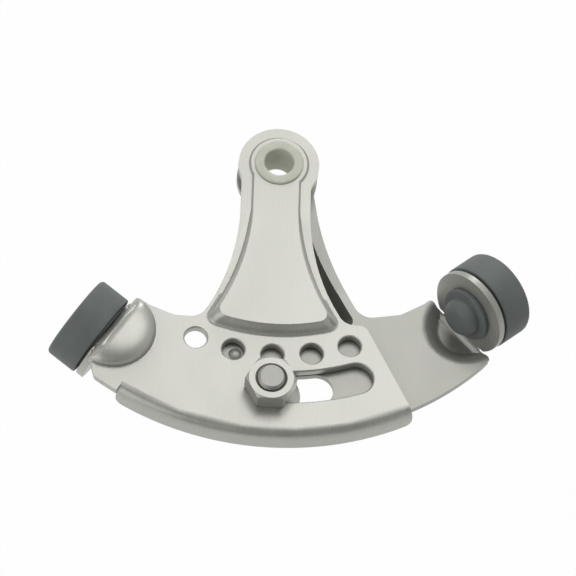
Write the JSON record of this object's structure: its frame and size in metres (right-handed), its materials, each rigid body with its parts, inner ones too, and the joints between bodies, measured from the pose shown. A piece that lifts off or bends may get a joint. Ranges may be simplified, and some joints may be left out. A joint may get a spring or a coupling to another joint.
{
  "type": "hinge pin door stop",
  "caption": "Adjustable hinge pin door stop: pressed steel arms that turn on a flanged hinge bush, clamped by a bolt in arc slots, each ending in a round rubber bumper.",
  "frame": {"origin": "on the axis of the hinge pin bore, midway between the two arms' plates", "axes": "+Z along the hinge pin's axis, towards the nut's side; -Y down the neck of the upper arm; +X towards the lower arm's bumper"},
  "size_m": [0.1063, 0.0768, 0.0299],
  "materials": {
    "plated_steel": "satin nickel plate, finely brushed",
    "bumper_rubber": "matt grey rubber",
    "bush_nylon": "natural nylon, slightly greenish",
    "bolt_steel": "satin nickel plate on turned and formed steel"
  },
  "bodies": {
    "upper": {"upper_arm": "plated_steel", "hinge_bush": "bush_nylon", "upper_bumper": "bumper_rubber"},
    "clamp": {"clamp_bolt": "bolt_steel"},
    "lower": {"lower_arm": "plated_steel", "lower_bumper": "bumper_rubber"},
    "nut": {"clamp_nut": "bolt_steel"}
  },
  "joints": [
    {"name": "bolt_in_upper_slot", "type": "hinge", "parent": "upper", "child": "clamp", "pos_m": [0, 0, 0], "axis": [0, 0, 1], "range_deg": [-0.25, 20.45]},
    {"name": "bolt_in_lower_slot", "type": "hinge", "parent": "clamp", "child": "lower", "pos_m": [0, 0, 0], "axis": [0, 0, 1], "range_deg": [-11.15, 9.55]},
    {"name": "nut_turn", "type": "hinge", "parent": "clamp", "child": "nut", "pos_m": [-0.00029, -0.0557, 0], "axis": [0, 0, 1], "continuous": true}
  ]
}
